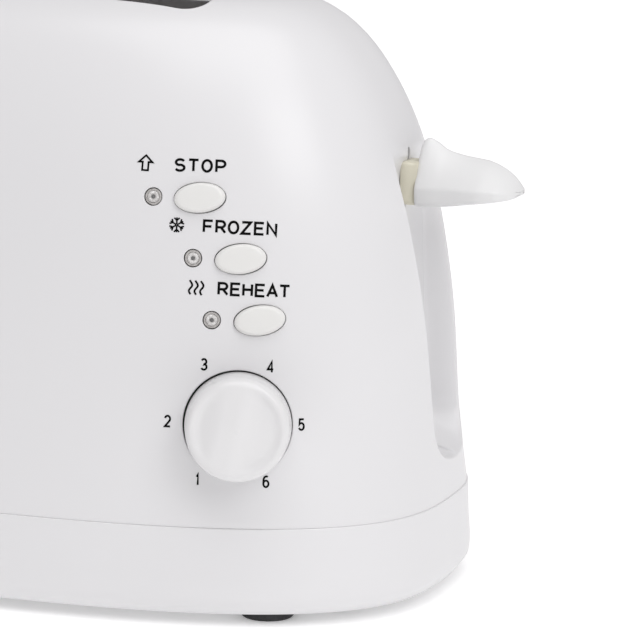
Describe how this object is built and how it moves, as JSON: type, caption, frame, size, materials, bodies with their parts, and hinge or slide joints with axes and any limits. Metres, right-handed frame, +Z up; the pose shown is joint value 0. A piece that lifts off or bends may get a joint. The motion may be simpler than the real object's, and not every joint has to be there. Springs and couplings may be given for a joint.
{
  "type": "pop-up toaster",
  "caption": "Wide pop-up toaster with a rounded white plastic housing, end lever in a tapered recess, oval keys with lamps, a browning dial and a slide-out crumb tray.",
  "frame": {"origin": "on the table, under the middle of the box of the whole object, lever handle included", "axes": "+Z up, -Y towards the control front, +X towards the end that carries the lever"},
  "size_m": [0.2932, 0.158, 0.176],
  "materials": {
    "shell_white": "glossy moulded",
    "lever_white": "glossy moulded",
    "button_ivory": "satin moulded",
    "dial_white": "glossy moulded",
    "led_clear": "clear water-white",
    "foot_rubber": "matte",
    "gland_black": "matte",
    "inner_plastic": "matte",
    "sheet_steel": "plain mill finish",
    "bright_steel": "bright",
    "wire_steel": "drawn wire",
    "mica": "layered, slightly pearly",
    "heater_ribbon": "oxidised",
    "board_green": "satin lacquer",
    "copper": "enamelled winding"
  },
  "bodies": {
    "root": {"outer_shell": "shell_white", "base": "shell_white", "cord_gland": "gland_black", "guide_rod": "bright_steel", "rod_bracket_top": "sheet_steel", "rod_bracket_bottom": "sheet_steel", "lift_spring": "bright_steel", "magnet_core": "sheet_steel", "magnet_coil": "copper", "chassis_end_left": "sheet_steel", "chassis_end_right": "sheet_steel", "slot_plate": "bright_steel", "reflector_front": "bright_steel", "reflector_rear": "bright_steel", "mica_front": "mica", "mica_centre": "mica", "mica_rear": "mica", "heater_front": "heater_ribbon", "heater_centre_front": "heater_ribbon", "heater_centre_rear": "heater_ribbon", "heater_rear": "heater_ribbon", "timer_pot": "inner_plastic", "control_board": "board_green", "terminal_block": "inner_plastic", "foot_1": "foot_rubber", "case_screw_1": "bright_steel", "bread_guard_1": "wire_steel", "foot_2": "foot_rubber", "case_screw_2": "bright_steel", "bread_guard_2": "wire_steel", "foot_3": "foot_rubber", "case_screw_3": "bright_steel", "bread_guard_3": "wire_steel", "foot_4": "foot_rubber", "case_screw_4": "bright_steel", "bread_guard_4": "wire_steel", "stop_led": "led_clear", "frozen_led": "led_clear", "reheat_led": "led_clear"},
    "lever": {"lever_knob": "lever_white", "carriage": "sheet_steel", "bread_rack_front": "wire_steel", "bread_rack_rear": "wire_steel", "keeper_plate": "bright_steel"},
    "tray": {"crumb_tray": "shell_white"},
    "dial": {"dial_knob": "dial_white", "dial_shaft": "bright_steel"},
    "stop_key": {"stop_button": "button_ivory"},
    "frozen_key": {"frozen_button": "button_ivory"},
    "reheat_key": {"reheat_button": "button_ivory"}
  },
  "joints": [
    {"name": "lever_slide", "type": "slide", "parent": "root", "child": "lever", "axis": [0, 0, -1], "range_m": [0, 0.066], "stiffness_N_per_m": 80, "springref_m": -0.05, "deforming": ["lift_spring"]},
    {"name": "crumb_tray_slide", "type": "slide", "parent": "root", "child": "tray", "axis": [0, 1, 0], "range_m": [0, 0.12]},
    {"name": "dial_turn", "type": "hinge", "parent": "root", "child": "dial", "pos_m": [0.082, -0.06169, 0.05855], "axis": [0.3243, -0.9419, 0.0872], "range_deg": [-150, 150]},
    {"name": "stop_press", "type": "slide", "parent": "root", "child": "stop_key", "axis": [-0.247, 0.9475, -0.2031], "range_m": [0, 0.0012], "stiffness_N_per_m": 600, "springref_m": -0.0005},
    {"name": "frozen_press", "type": "slide", "parent": "root", "child": "frozen_key", "axis": [-0.3403, 0.9309, -0.1331], "range_m": [0, 0.0012], "stiffness_N_per_m": 600, "springref_m": -0.0005},
    {"name": "reheat_press", "type": "slide", "parent": "root", "child": "reheat_key", "axis": [-0.39, 0.916, -0.0938], "range_m": [0, 0.0012], "stiffness_N_per_m": 600, "springref_m": -0.0005}
  ]
}
